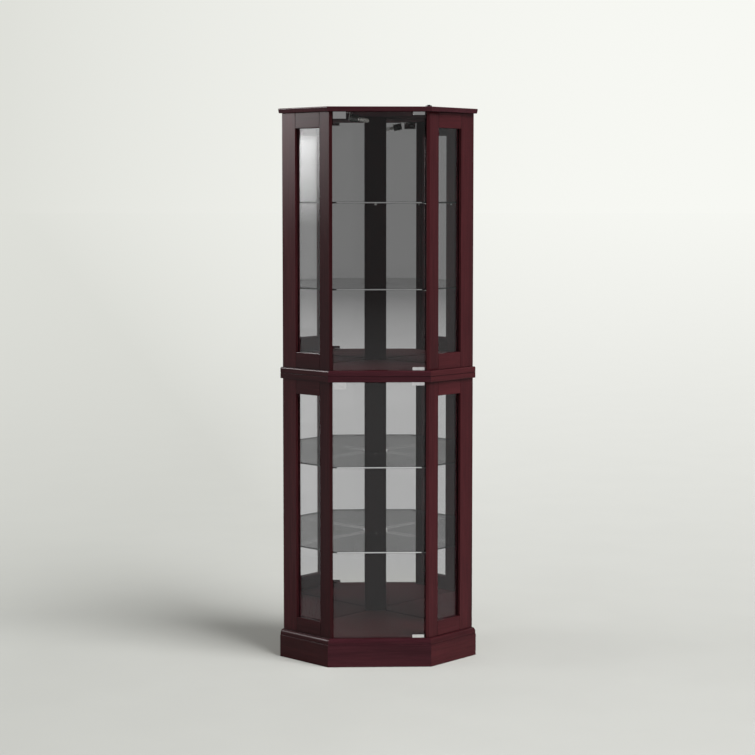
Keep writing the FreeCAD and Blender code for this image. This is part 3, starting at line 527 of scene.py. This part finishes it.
def make_world():
    """Pale for the camera, a dim room for reflections, plain light for the rest."""
    world = bpy.data.worlds.new("studio")
    bpy.context.scene.world = world
    world.use_nodes = True
    tree = world.node_tree
    tree.nodes.clear()
    way = add(tree, "ShaderNodeTexCoord").outputs["Generated"]
    parts = add(tree, "ShaderNodeSeparateXYZ", {0: way}).outputs
    rays = add(tree, "ShaderNodeLightPath").outputs
    front = room_sides(tree, parts[0], (ROOM_DARK, ROOM_DARK, ROOM_DARK, 1))
    room = blend_colour(tree, spread(tree, parts[1], ROOM_BACK[0], ROOM_BACK[1]), front,
                        (ROOM_BEHIND, ROOM_BEHIND, ROOM_BEHIND, 1))
    unseen = blend_colour(tree, rays["Is Glossy Ray"], AMBIENT, room)
    colour = blend_colour(tree, rays["Is Camera Ray"], unseen, pale(tree, parts[0]))
    glow = add(tree, "ShaderNodeBackground", {"Color": colour, "Strength": 1.0})
    add(tree, "ShaderNodeOutputWorld", {"Surface": glow.outputs[0]})


def place_light(name, light, place, target):
    lamp = bpy.data.objects.new(name, light)
    aim = (Vector(target) - Vector(place)).to_track_quat("-Z", "Y")
    lamp.matrix_world = Matrix.LocRotScale(Vector(place), aim, None)
    lamp.visible_camera = False
    bpy.context.scene.collection.objects.link(lamp)
    return lamp


def make_key():
    """Large soft light from the right and above, as even as a wide panel far away."""
    light = bpy.data.lights.new("key", "SUN")
    light.angle = math.radians(KEY_ANGLE)
    light.energy = KEY_STRENGTH
    azimuth, elevation = math.radians(KEY_AZIMUTH), math.radians(KEY_ELEVATION)
    way = Vector((math.cos(azimuth) * math.cos(elevation),
                  -math.sin(azimuth) * math.cos(elevation), math.sin(elevation)))
    place_light("key", light, KEY_DISTANCE * way, (0, 0, 0))


def side_panel(name, place, size, power, edge=0.001):
    """Upright panel on the left, fading out towards its lower and its front edge."""
    light = bpy.data.lights.new(name, "AREA")
    light.shape = "RECTANGLE"
    light.size, light.size_y = size
    light.energy = power
    light.use_nodes = True
    tree = light.node_tree
    tree.nodes.clear()
    spot = add(tree, "ShaderNodeNewGeometry").outputs["Parametric"]
    shares = add(tree, "ShaderNodeSeparateXYZ", {0: spot}).outputs
    front = spread(tree, shares[0], 1.0 - edge, 1.0, 1.0, 0.0, smooth=False)
    up = calculate(tree, "MULTIPLY", shares[1], size[1])
    foot = spread(tree, up, PANEL_FADE[0], PANEL_FADE[1], smooth=False)
    crown = spread(tree, up, PANEL_CROWN[0], PANEL_CROWN[1], 1.0, PANEL_CROWN[2])
    strength = calculate(tree, "MULTIPLY", calculate(tree, "MULTIPLY", foot, crown), front)
    glow = add(tree, "ShaderNodeEmission", {"Strength": strength})
    add(tree, "ShaderNodeOutputLight", {"Surface": glow.outputs[0]})
    x, y = place
    z = PANEL_FOOT + size[1] / 2
    return place_light(name, light, (x, y, z), (0, y, z))


def make_side_lights():
    """One panel lights the wood and the floor, the other only shows as a reflection."""
    fill = side_panel("fill", FILL_PLACE, FILL_SIZE, FILL_POWER)
    fill.visible_glossy = False
    sheen = side_panel("sheen", SHEEN_PLACE, SHEEN_SIZE, SHEEN_POWER, SHEEN_EDGE)
    sheen.visible_diffuse = False


def make_camera():
    data = bpy.data.cameras.new("camera")
    data.sensor_width = CAMERA_SENSOR
    data.lens = CAMERA_LENS
    data.shift_y = CAMERA_SHIFT
    data.clip_end = CAMERA_FAR
    camera = bpy.data.objects.new("camera", data)
    turn = Matrix.Rotation(math.radians(-CAMERA_YAW), 4, "Z") @ Matrix.Rotation(
        math.radians(90 - CAMERA_PITCH), 4, "X")
    camera.matrix_world = Matrix.Translation(CAMERA_PLACE) @ turn
    bpy.context.scene.collection.objects.link(camera)
    bpy.context.scene.camera = camera


# ---- mesh helpers ----
def piece_from(name, mesh_builder, material, body, smooth=False):
    """A visible piece: bmesh geometry, one material, riding on a CAD body."""
    mesh = bpy.data.meshes.new(name)
    mesh_builder.to_mesh(mesh)
    mesh_builder.free()
    piece = bpy.data.objects.new(name, mesh)
    bpy.context.scene.collection.objects.link(piece)
    mesh.materials.append(material)
    if smooth:
        mesh.shade_smooth()
        mesh.set_sharp_from_angle(angle=SMOOTH_ANGLE)
    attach(piece, body)
    return piece


def prism(corners, low, high, ease):
    """Closed upright prism on an outline of (x, y) corners, with eased edges."""
    build = bmesh.new()
    ring = [build.verts.new((x, y, low)) for x, y in corners]
    base = build.faces.new(ring)
    top = bmesh.ops.extrude_face_region(build, geom=[base])["geom"]
    risen = [item for item in top if isinstance(item, bmesh.types.BMVert)]
    bmesh.ops.translate(build, verts=risen, vec=(0, 0, high - low))
    bmesh.ops.recalc_face_normals(build, faces=build.faces[:])
    bmesh.ops.bevel(build, geom=build.edges[:], offset=ease, segments=2,
                    affect="EDGES", profile=0.5)
    return build


def lathe(outline, sides=32, wave=None):
    """Surface turned round X on an outline of (along, radius); ends closed on the axis."""
    build = bmesh.new()
    rings = []
    for along, radius in outline:
        if radius == 0:
            rings.append([build.verts.new((along, 0, 0))])
            continue
        ring = []
        for side in range(sides):
            turn = 2 * math.pi * side / sides
            own = radius * (wave(side, along) if wave else 1.0)
            ring.append(build.verts.new((along, own * math.cos(turn), own * math.sin(turn))))
        rings.append(ring)
    for first, second in zip(rings, rings[1:]):
        for side in range(sides):
            after = (side + 1) % sides
            corners = [first[side % len(first)], first[after % len(first)],
                       second[after % len(second)], second[side % len(second)]]
            build.faces.new(list(dict.fromkeys(corners)))
    bmesh.ops.recalc_face_normals(build, faces=build.faces[:])
    return build


def screw_head(radius, height):
    """Pan head with a cross recess, standing along X from the surface it holds."""
    build = lathe([(0, radius), (0.35 * height, radius), (0.8 * height, 0.85 * radius),
                   (height, 0.62 * radius)], SCREW_SIDES)
    build.verts.ensure_lookup_table()
    last = [build.verts[index] for index in range(3 * SCREW_SIDES, 4 * SCREW_SIDES)]
    for level, scale in ((1.0, 1.0), (0.45, 0.8)):
        ring = []
        for side in range(SCREW_SIDES):
            turn = 2 * math.pi * side / SCREW_SIDES
            arm = RECESS_ARM if side % 4 == 0 else RECESS_NOTCH
            reach = radius * scale * arm
            ring.append(build.verts.new((level * height, reach * math.cos(turn),
                                         reach * math.sin(turn))))
        for side in range(SCREW_SIDES):
            after = (side + 1) % SCREW_SIDES
            build.faces.new([last[side], last[after], ring[after], ring[side]])
        last = ring
    build.faces.new(last)
    bmesh.ops.recalc_face_normals(build, faces=build.faces[:])
    return build


def stand(build, place, outward):
    """Turns a piece drawn along X to point outward, and moves it to its place."""
    turn = Vector(outward).to_track_quat("X", "Z").to_matrix().to_4x4()
    build.transform(Matrix.Translation(place) @ turn)
    return build


# ---- mouldings ----
def rounded(corners):
    """Outline of (out, up) points with its rounded corners drawn as short runs."""
    points = []
    for index, corner in enumerate(corners):
        here = Vector(corner[:2])
        if len(corner) == 2:
            points.append(here)
            continue
        back = (Vector(corners[index - 1][:2]) - here).normalized()
        on = (Vector(corners[(index + 1) % len(corners)][:2]) - here).normalized()
        half = back.angle(on) / 2
        middle = here + (back + on).normalized() * (corner[2] / math.sin(half))
        start = here + back * (corner[2] / math.tan(half)) - middle
        end = here + on * (corner[2] / math.tan(half)) - middle
        points.append(middle + start + back * ARC_LEAD)
        for step in range(ARC_STEPS + 1):
            points.append(middle + corner[2] * start.slerp(end, step / ARC_STEPS))
        points.append(middle + end + on * ARC_LEAD)
    return [(point.x, point.y) for point in points]


def mitre_spot(out, up):
    """Where a profile point meets the mitre at the front right corner."""
    return Vector((HALF_FRONT + out * MITRE, FRONT_Y - out, up))


def wall_spot(out, up):
    """Where a profile point meets the right-hand wall line."""
    return Vector((HALF_FRONT + (SIDE_RUN + out) * CANT,
                   FRONT_Y + (SIDE_RUN - out) * CANT, up))


def flipped(spot):
    return Vector((-spot.x, spot.y, spot.z))


def left_mitre_spot(out, up):
    return flipped(mitre_spot(out, up))


def left_wall_spot(out, up):
    return flipped(wall_spot(out, up))


def moulding(outline, first_end, second_end):
    """Straight run of a profile between two cut ends."""
    build = bmesh.new()
    first = [build.verts.new(first_end(out, up)) for out, up in outline]
    second = [build.verts.new(second_end(out, up)) for out, up in outline]
    count = len(outline)
    for index in range(count):
        after = (index + 1) % count
        build.faces.new([first[index], first[after], second[after], second[index]])
    build.faces.new(first)
    build.faces.new(second)
    bmesh.ops.recalc_face_normals(build, faces=build.faces[:])
    return build


def make_mouldings(timbers):
    """Plinth and waist mouldings with true curves, mitred at the front corners."""
    runs = (("front", left_mitre_spot, mitre_spot, "level"),
            ("right", mitre_spot, wall_spot, "right"),
            ("left", left_mitre_spot, left_wall_spot, "left"))
    for stem, corners in (("plinth", PLINTH_OUTLINE), ("waist_moulding", WAIST_OUTLINE)):
        outline = rounded(corners)
        for side, start, end, timber in runs:
            node = stem + "_" + side
            piece = piece_from(node + "_run", moulding(outline, start, end),
                               timbers[timber], "cabinet", smooth=True)
            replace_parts(piece, node)


def make_top_board(timber):
    """Top board with an eased upper edge and a fascia that tucks in slightly below."""
    build = bmesh.new()
    back_y = FRONT_Y + 2 * SIDE_RUN * CANT + HALF_FRONT - BACK_HALF
    rings = []
    for out, up in rounded(TOP_OUTLINE)[1:-1]:
        right = [mitre_spot(out, up), wall_spot(out, up), Vector((BACK_HALF, back_y, up))]
        ring = right + [flipped(spot) for spot in reversed(right)]
        rings.append([build.verts.new(spot) for spot in ring])
    for first, second in zip(rings, rings[1:]):
        for index in range(len(first)):
            after = (index + 1) % len(first)
            build.faces.new([first[index], first[after], second[after], second[index]])
    build.faces.new(rings[0])
    build.faces.new(rings[-1])
    bmesh.ops.recalc_face_normals(build, faces=build.faces[:])
    piece = piece_from("top_board_panel", build, timber, "cabinet", smooth=True)
    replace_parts(piece, "top_board")


def ease_frames(timbers):
    """Stiles and rails with eased arrises, so that their joints show as fine grooves."""
    for node, piece in frame["nodes"].items():
        if not node.endswith(("_stile", "_side_rails")):
            continue
        build = bmesh.new()
        build.from_mesh(piece.data)
        bmesh.ops.remove_doubles(build, verts=build.verts[:], dist=SAME_SPOT)
        bmesh.ops.dissolve_limit(build, angle_limit=FLAT_ANGLE, verts=build.verts[:],
                                 edges=build.edges[:])
        sharp = [edge for edge in build.edges
                 if len(edge.link_faces) == 2 and edge.calc_face_angle() > SMOOTH_ANGLE]
        bmesh.ops.bevel(build, geom=sharp, offset=FRAME_ARRIS, segments=2, profile=0.5,
                        affect="EDGES", clamp_overlap=True)
        eased = piece_from(node + "_eased", build, timber_for(node, timbers), "cabinet")
        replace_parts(eased, node)


def wall_places(node, hand):
    """A wall piece's corners as distances (outward, along) of its wall, both times root 2."""
    corners = [vertex.co for vertex in frame["nodes"][node].data.vertices]
    return [(corner.x * hand + corner.y, corner.y - corner.x * hand) for corner in corners]


def wall_spot_at(hand, outward, along):
    """Back from such a pair to x and y."""
    return hand * (outward - along) / 2, (outward + along) / 2


def make_mirrors(material):
    """Mirror plates that lean in slightly at their outer ends, on the boards behind them."""
    lean = math.tan(math.radians(MIRROR_LEAN))
    for case in ("lower", "upper"):
        for side, hand in (("left", -1), ("right", 1)):
            node = "%s_%s_mirror" % (case, side)
            outward, along = zip(*wall_places(node, hand))
            face, back = min(outward), max(outward)
            outer, inner = min(along), max(along)
            turned_in = (inner - outer) * lean
            outline = [wall_spot_at(hand, face, inner),
                       wall_spot_at(hand, face - turned_in, outer),
                       wall_spot_at(hand, back, outer), wall_spot_at(hand, back, inner)]
            low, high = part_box(node)
            build = prism(outline, low.z, high.z, MIRROR_ARRIS)
            piece = piece_from(node + "_plate", build, material, "cabinet")
            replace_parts(piece, node)


# ---- lamp ----
def in_lamp(build):
    """Moves a piece drawn along X to the lamp's tilted place under the top board."""
    tilt = Matrix.Rotation(math.radians(LAMP_TILT), 4, "Y")
    build.transform(Matrix.Translation(LAMP_PLACE) @ tilt)
    return build


def thread_outline():
    """Screw shell, seen from the side, with its thread as rings."""
    outline = [(SHELL_START, 0), (SHELL_START, 0.6 * SHELL_RADIUS)]
    along = SHELL_START + 0.001
    while along < BULB_START:
        swing = math.cos(2 * math.pi * (along - SHELL_START) / THREAD_PITCH)
        outline.append((along, SHELL_RADIUS - THREAD_DEPTH * (1 - swing) / 2))
        along += THREAD_PITCH / THREAD_STEPS
    return outline + [(BULB_START + 0.0008, 0.92 * SHELL_RADIUS), (BULB_START + 0.0008, 0)]


def envelope_outline():
    """Blown glass: a narrow neck, a straight body and a round end."""
    neck = 0.8 * BULB_RADIUS
    body = BULB_END - BULB_RADIUS
    outline = [(BULB_START, 0), (BULB_START, neck), (BULB_START + 0.002, neck)]
    outline += [(BULB_START + 0.004, 0.93 * BULB_RADIUS), (BULB_START + 0.006, BULB_RADIUS)]
    for step in range(9):
        lift = math.radians(10 * step)
        outline.append((body + (BULB_RADIUS - 0.0002) * math.sin(lift),
                        BULB_RADIUS * math.cos(lift)))
    return outline + [(BULB_END - 0.0001, 0)]


def socket_outline():
    """Moulded shell with a raised lip at its mouth, hollow for the bulb's base."""
    lip = SOCKET_MOUTH - LIP_LENGTH
    floor = SHELL_START - 0.001
    return [(0, 0), (0, 0.94 * SOCKET_RADIUS), (0.0006, SOCKET_RADIUS),
            (lip - 0.004, SOCKET_RADIUS), (lip - 0.003, 0.93 * SOCKET_RADIUS),
            (lip, 0.93 * SOCKET_RADIUS), (lip, 0.98 * LIP_RADIUS),
            (lip + LIP_EASE, LIP_RADIUS), (SOCKET_MOUTH - LIP_EASE, LIP_RADIUS),
            (SOCKET_MOUTH, 0.97 * LIP_RADIUS), (SOCKET_MOUTH, SOCKET_HOLE + LIP_EASE),
            (SOCKET_MOUTH - 0.0004, SOCKET_HOLE), (floor, SOCKET_HOLE), (floor, 0)]


def knurl(side, along):
    """Ridges within a stretch; of the socket, only its hole's bottom ring lies there."""
    return KNURL_SCALE if KNURL_SPAN[0] < along < KNURL_SPAN[1] and side % 2 else 1.0


def ring_outline():
    """Plated ring on the lip, open behind."""
    mouth = SOCKET_MOUTH - LIP_EASE
    wall = LIP_RADIUS - RING_GAP
    return [(mouth - RING_DEPTH, wall), (mouth, wall), (mouth + RING_RISE, wall - RING_EASE),
            (mouth + RING_RISE, RING_HOLE + RING_EASE), (mouth, RING_HOLE)]


def make_lamp(finishes):
    """Small tubular lamp: socket, clouded glass, screw shell, ring and mount."""
    socket = in_lamp(lathe(socket_outline(), 2 * KNURLS, knurl))
    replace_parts(piece_from("lamp_socket_shell", socket, finishes["socket_plastic"],
                           "cabinet"), "lamp_socket")
    envelope = in_lamp(lathe(envelope_outline()))
    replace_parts(piece_from("lamp_bulb_envelope", envelope, finishes["bulb_glass"], "cabinet",
                           smooth=True), "lamp_bulb")
    mount_outline = [(BULB_START + along, radius) for along, radius in MOUNT_OUTLINE]
    plated = (("lamp_bulb_screw_shell", lathe(thread_outline())),
              ("lamp_socket_ring", lathe(ring_outline(), RING_SIDES)),
              ("lamp_bulb_mount", lathe(mount_outline, MOUNT_SIDES)))
    for name, build in plated:
        piece_from(name, in_lamp(build), finishes["nickel_plate"], "cabinet",
                   smooth=True)


# ---- screws ----
def latch_screws():
    """Two screws up through each latch's ears, and two in the lamp bracket's foot."""
    spots = []
    low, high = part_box("latch_bodies")
    middle_y = (low.y + high.y) / 2
    ears = (low.x + FITTING_EDGE, high.x - FITTING_EDGE)
    for board in ("lower_top_board", "top_board"):
        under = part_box(board)[0].z - EAR_THICK
        spots += [(x, middle_y, under) for x in ears]
    low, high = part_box("lamp_bracket")
    spots += [(low.x + FOOT_LENGTH, y, high.z - FOOT_THICK)
              for y in (low.y + FITTING_EDGE, high.y - FITTING_EDGE)]
    return [(spot, (0, 0, -1)) for spot in spots]


def panel_screws():
    """Rows of screws near both upright edges of each back board, on its outer face."""
    spots = []
    for case in ("lower", "upper"):
        for side, hand in (("left", -1), ("right", 1)):
            places = wall_places("%s_%s_back_board" % (case, side), hand)
            face = max(outward for outward, along in places)
            runs = [along for outward, along in places if outward > face - PANEL_OUTER]
            edge = PANEL_EDGE * math.sqrt(2)
            low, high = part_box("%s_%s_back_board" % (case, side))
            height = high.z - low.z - 2 * PANEL_EDGE
            for run in (min(runs) + edge, max(runs) - edge):
                x, y = wall_spot_at(hand, face, run)
                for row in range(PANEL_ROWS):
                    z = low.z + PANEL_EDGE + height * row / (PANEL_ROWS - 1)
                    spots.append(((x, y, z), (hand, 1, 0)))
    return spots


def make_screws(finishes):
    for name, spots, size in (("fitting_screws", latch_screws(), SMALL_SCREW),
                              ("panel_screws", panel_screws(), PANEL_SCREW)):
        every = bmesh.new()
        for place, outward in spots:
            head = stand(screw_head(*size), place, outward)
            scrap = bpy.data.meshes.new("head")
            head.to_mesh(scrap)
            head.free()
            every.from_mesh(scrap)
            bpy.data.meshes.remove(scrap)
        piece_from(name, every, finishes["nickel_plate"], "cabinet")


# ---- dressing the CAD nodes ----
def dress(node, material):
    piece = frame["nodes"][node]
    piece.data.materials.clear()
    piece.data.materials.append(material)


def timber_for(node, timbers):
    if node in ("plinth_back_rails", "base_corner_blocks"):
        return timbers["inner"]
    if node.endswith("back_board"):
        return timbers["panel"]
    if node.endswith("post"):
        return timbers["post"]
    if node.endswith("left_front_stile"):
        return timbers["painted_shade_upright"]
    if node.endswith("stile"):
        return timbers["upright"]
    if node.endswith("bottom_board") or node == "lower_top_board":
        return timbers["inside_level"]
    if "_left" in node:
        return timbers["left"]
    if "_right" in node:
        return timbers["right"]
    return timbers["level"]


def toned(tone):
    """The three lacquer colours, each channel scaled, for copies with painted light and painted
    shade.
    """
    return [tuple(share * part for share, part in zip(tone, colour)) + (1,)
            for colour in (WOOD_DARK, WOOD_MIDDLE, WOOD_LIGHT)]


def make_timbers():
    bare = {"rough": (0.6, 0.8), "shine": BARE_SHINE, "relief": 0.4}
    inside = {"rough": (0.45, 0.55), "shine": INSIDE_SHINE}
    return {
        # copies of the lacquer with painted shade on left-facing pieces and painted light on
        # level ones
        "upright": wood("mahogany_upright", upright=True),
        "painted_shade_upright": wood("mahogany_dark_upright", upright=True,
                             colours=toned(FRONT_STILE_PAINTED_SHADE)),
        "level": wood("mahogany_level", colours=toned(LEVEL_PAINTED_LIGHT)),
        "left": wood("mahogany_left", turn=45.0, colours=toned(LEFT_PAINTED_SHADE)),
        "right": wood("mahogany_right", turn=-45.0),
        "post": wood("near_black_post", upright=True, colours=POST_WOOD, **inside),
        "inside_level": wood("mahogany_inside_level", **inside),
        "inner": wood("softwood", colours=INNER_WOOD, **bare),
        "panel": wood("stained_panel", upright=True, colours=PANEL_WOOD, **bare),
    }


def dress_all(timbers):
    finishes = {
        "mirror_glass": silvered("mirror_glass"),
        "door_glass": pane_glass("door_glass", DOOR_IOR),
        "side_glass": pane_glass("side_glass", SIDE_IOR),
        "shelf_glass": shelf_glass("shelf_glass"),
        "bulb_glass": bulb_glass("bulb_glass"),
        "bright_steel": metal("bright_steel", (0.88, 0.87, 0.865), 0.04, 0.02),
        "nickel_plate": metal("nickel_plate", (0.55, 0.54, 0.52), 0.2, 0.05),
        "bushing_brass": metal("bushing_brass", (0.72, 0.52, 0.24), 0.25, 0.1),
        "latch_plastic": plastic("latch_plastic", (0.045, 0.028, 0.022), 0.45, 0.2),
        "plunger_plastic": plastic("plunger_plastic", (0.04, 0.024, 0.018), 0.3),
        "socket_plastic": plastic("socket_plastic", (0.022, 0.025, 0.022), 0.2),
        "switch_plastic": plastic("switch_plastic", (0.014, 0.007, 0.007), 0.35),
        "grommet_rubber": plastic("grommet_rubber", (0.022, 0.022, 0.022), 0.6, 0.3),
    }
    for part in frame["record"]["subparts"]:
        node, kind = part["node"], part["material_slot"]
        if kind in finishes:
            dress(node, finishes[kind])
        else:
            dress(node, timber_for(node, timbers))
    return finishes


make_camera()
make_world()
make_floor()
make_key()
make_side_lights()
timbers = make_timbers()
finishes = dress_all(timbers)
ease_frames(timbers)
make_mouldings(timbers)
make_top_board(timbers["level"])
make_mirrors(finishes["mirror_glass"])
make_lamp(finishes)
make_screws(finishes)

scene = bpy.context.scene
scene.view_settings.view_transform = "Standard"
